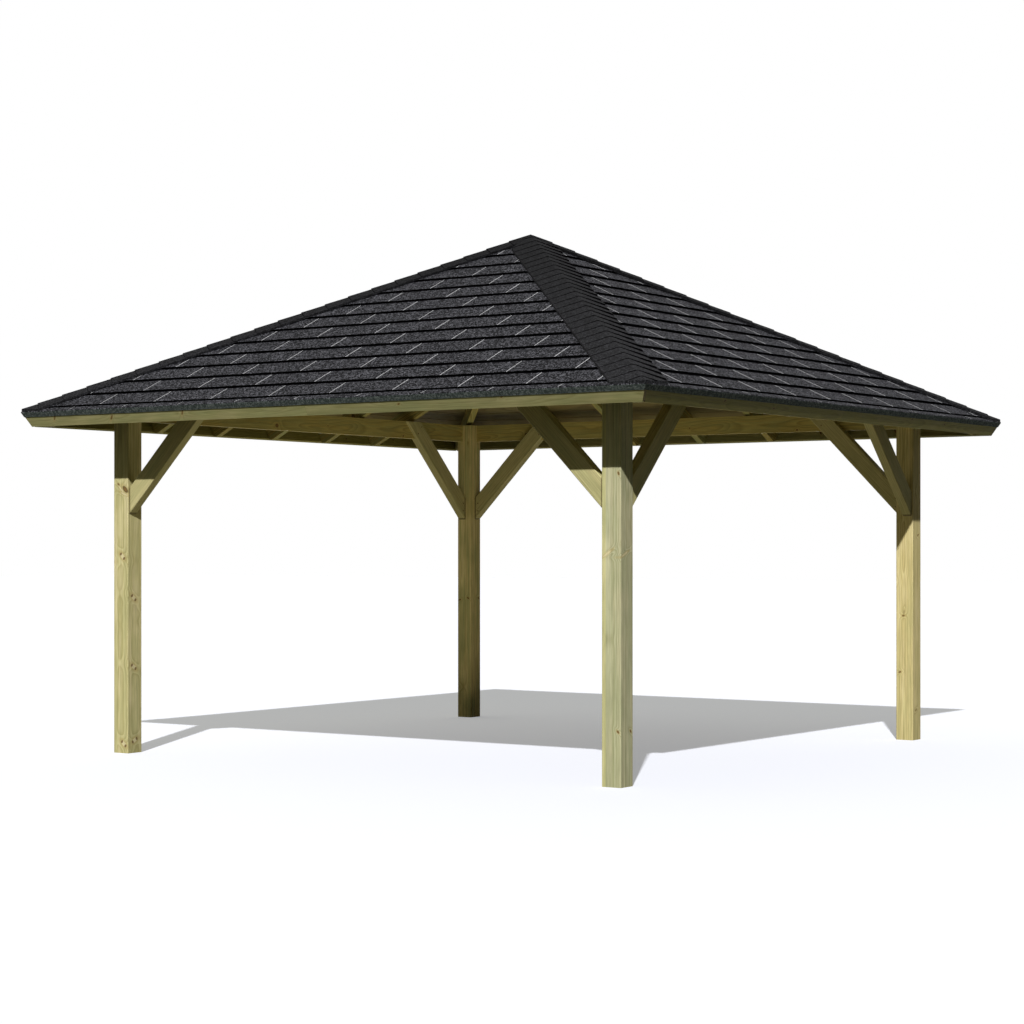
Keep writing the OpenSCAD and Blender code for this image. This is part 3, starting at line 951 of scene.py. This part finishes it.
# Points across a cap: distance from the fold, rise at each step, width of the black band of painted
# shade
CLOSE_WING = {"front_right": (-154 * MM, 2 * MM, 2 * MM), "front_left": (-98 * MM, 2 * MM, 2 * MM),
              "back_right": (-154 * MM, 2 * MM, 2 * MM), "back_left": (-154 * MM, 2 * MM, 2 * MM)}
LIFTED_WING = {"front_right": (162 * MM, 6 * MM, 36 * MM), "front_left": (162 * MM, 7 * MM, 16 * MM),
               "back_right": (92 * MM, 5 * MM, 8 * MM), "back_left": (162 * MM, 7 * MM, 16 * MM)}
CAP_TONE = {"front_right": 1.0, "front_left": 0.9, "back_right": 0.7, "back_left": 0.8}
EAVE_STEP = 0.3 * MM
TAPER = 0.994
FOLD_RISE = {"front_right": 3 * MM, "front_left": 5 * MM, "back_right": 5 * MM,
             "back_left": 5 * MM}
APEX_SHADE = 0.45
print("a cap shows %.1f to %.1f mm of its length" % (min(CAP_STEP.values()) / MM,
                                                  max(CAP_STEP.values()) / MM))

# %% The hip's own axes
hip_down = Vector((1, 1, -tan(PITCH))).normalized()
hip_level = Vector((-1, 1, 0)).normalized()
hip_up = hip_down.cross(hip_level)
apex = Vector((0, 0, (BOARD_TOP + BUTT) / cos(PITCH)))
square_right = Vector((sin(PITCH), 0, cos(PITCH)))
wing_down = square_right.cross(hip_down)
if wing_down.z > 0:
    wing_down = -wing_down
WING_LEVEL = abs(wing_down.dot(hip_level))
WING_DROP = abs(wing_down.dot(hip_up))
hip_length = hypot(sqrt(2) * HALF_EAVE, HALF_EAVE * tan(PITCH))
print("a wing falls %.2f m over each metre; the hip is %.2f m long" % (WING_DROP, hip_length))

# %% Hip caps


def cap_ring(section, step, stations, width=1.0):
    """The folded sheet's section, with a place down the hip for each of its points."""
    over, under = [], []
    for (reach, rise, band), x in zip(section, stations):
        reach *= width
        drop = max(abs(reach), CAP_FOLD / 2) * WING_DROP
        over.append((x, reach * WING_LEVEL, CAP_THICK + rise * x / step - drop))
        under.insert(0, (x, reach * WING_LEVEL, -MM - drop))
    return over + under


def hip_run(k, corner):
    """A whole run of caps on one hip, built with x down the hip and z square to it."""
    luck = Random(200 + k)
    bm = bmesh.new()
    bm.verts.layers.float.new("tone")
    fold = [(side * CAP_FOLD, FOLD_RISE[corner], 3 * MM) for side in (-1, 0, 1)]
    section = [CLOSE_WING[corner]] + fold + [LIFTED_WING[corner]]
    if k % 2 == 0:
        section = [(-reach, rise, band) for reach, rise, band in reversed(section)]
    step = CAP_STEP[corner]
    length = 2 * step + CAP_LAP
    # The cap's top is black this far: under the cap above, then a band of painted shade below its edge
    banded = [length - step + band for reach, rise, band in section]
    rings = [cap_ring(section, step, [0] * 5, TAPER), cap_ring(section, step, banded),
             cap_ring(section, step, [length] * 5)]
    covered = ([BITUMEN_AND_SHADE_INDEX] * 4 + [FELT_INDEX]) * 2
    basis = Matrix((hip_down, hip_level, hip_up)).transposed().to_4x4()
    shown = [FELT_INDEX] * 5 + [BITUMEN_AND_SHADE_INDEX] * 4 + [FELT_INDEX]
    for i in range(ceil(hip_length / step) + 2):
        foot = hip_length + CAP_FOOT[corner] - i * step
        tone = luck.uniform(0.95, 1.05) * (APEX_SHADE + foot / hip_length) * CAP_TONE[corner]
        verts = bar(bm, rings, (covered, shown), tone)
        down_the_hip = Matrix.Translation((foot - length, 0, 0))
        bmesh.ops.transform(bm, matrix=Matrix.Translation(apex) @ basis @ down_the_hip, verts=verts)
        # Each of the lowest caps reaches a hair further than the one below it
        stop = HALF_EAVE - CAP_STOP - EAVE_STEP * max(0, 4 - i)
        cut(bm, (1, 0, 0), (stop, 0, 0))
        cut(bm, (0, 1, 0), (0, stop, 0))
    cut(bm, (-1, 0, 0))
    cut(bm, (0, -1, 0))
    for f in bm.faces:
        f.normal_update()
        if max(abs(f.normal.x), abs(f.normal.y)) > 0.99:
            f.material_index = FELT_INDEX
    bmesh.ops.transform(bm, matrix=Matrix.Rotation(k * pi / 2, 4, "Z"), verts=bm.verts)
    piece = finished(bm, "hip_cap_run_" + corner, (CAP_FELT, BITUMEN_AND_SHADE))
    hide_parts("hip_caps_" + corner)


for k, corner in enumerate(CORNERS):
    hip_run(k, corner)

# %% [markdown]
# Each brace is held by screws through its lap on the beam and at its foot. A head is a low disc, and
# its star-shaped pit is drawn as a flat dark star of painted shade, which reads as a dark dot from
# across the garden.

# %% Screws of the braces
HEAD_RADIUS = 5.5 * MM
HEAD_RISE = 0.8 * MM
BRACE_FACE = 1731 * MM
SCREWS = [(1160, 2078), (1122, 2030), (1655, 1493), (1655, 1548)]
steel, shader, new = new_material("yellow-zinc steel", {
    "Base Color": linear("#8C7A4A"), "Metallic": 1.0, "Roughness": 0.45})
pit_shade, shader, new = new_material("painted shade in the screw pit", {
    "Base Color": linear("#14110C"), "Roughness": 0.8})


def screw_head(bm, place, outward):
    """A shallow disc looking out of the wood, its six-lobed pit a flat dark star of painted shade."""
    turn = outward.to_track_quat("Z", "Y").to_matrix().to_4x4()
    spot = Matrix.Translation(place) @ turn
    bmesh.ops.create_cone(bm, cap_ends=True, segments=20, radius1=HEAD_RADIUS,
                          radius2=HEAD_RADIUS * 0.9, depth=2 * HEAD_RISE, matrix=spot)
    # The pit is painted shade: a dark star standing a hair proud of the head
    reach = [HEAD_RADIUS * (0.62 if i % 4 < 2 else 0.45) for i in range(24)]
    turns = [i * pi / 12 for i in range(24)]
    rings = [[spot @ Vector((r * cos(a), r * sin(a), z)) for r, a in zip(reach, turns)]
             for z in (HEAD_RISE - 0.3 * MM, HEAD_RISE + 0.1 * MM)]
    bar(bm, rings, [[1] * 24], 1)


bm = bmesh.new()
bm.verts.layers.float.new("tone")
for k in range(4):
    for along, height in SCREWS:
        for place, outward in (((BRACE_FACE, along * MM, height * MM), (-1, 0, 0)),
                               ((along * MM, BRACE_FACE, height * MM), (0, -1, 0))):
            screw_head(bm, turned(place, k), turned(outward, k))
finished(bm, "screw_heads", (steel, pit_shade))
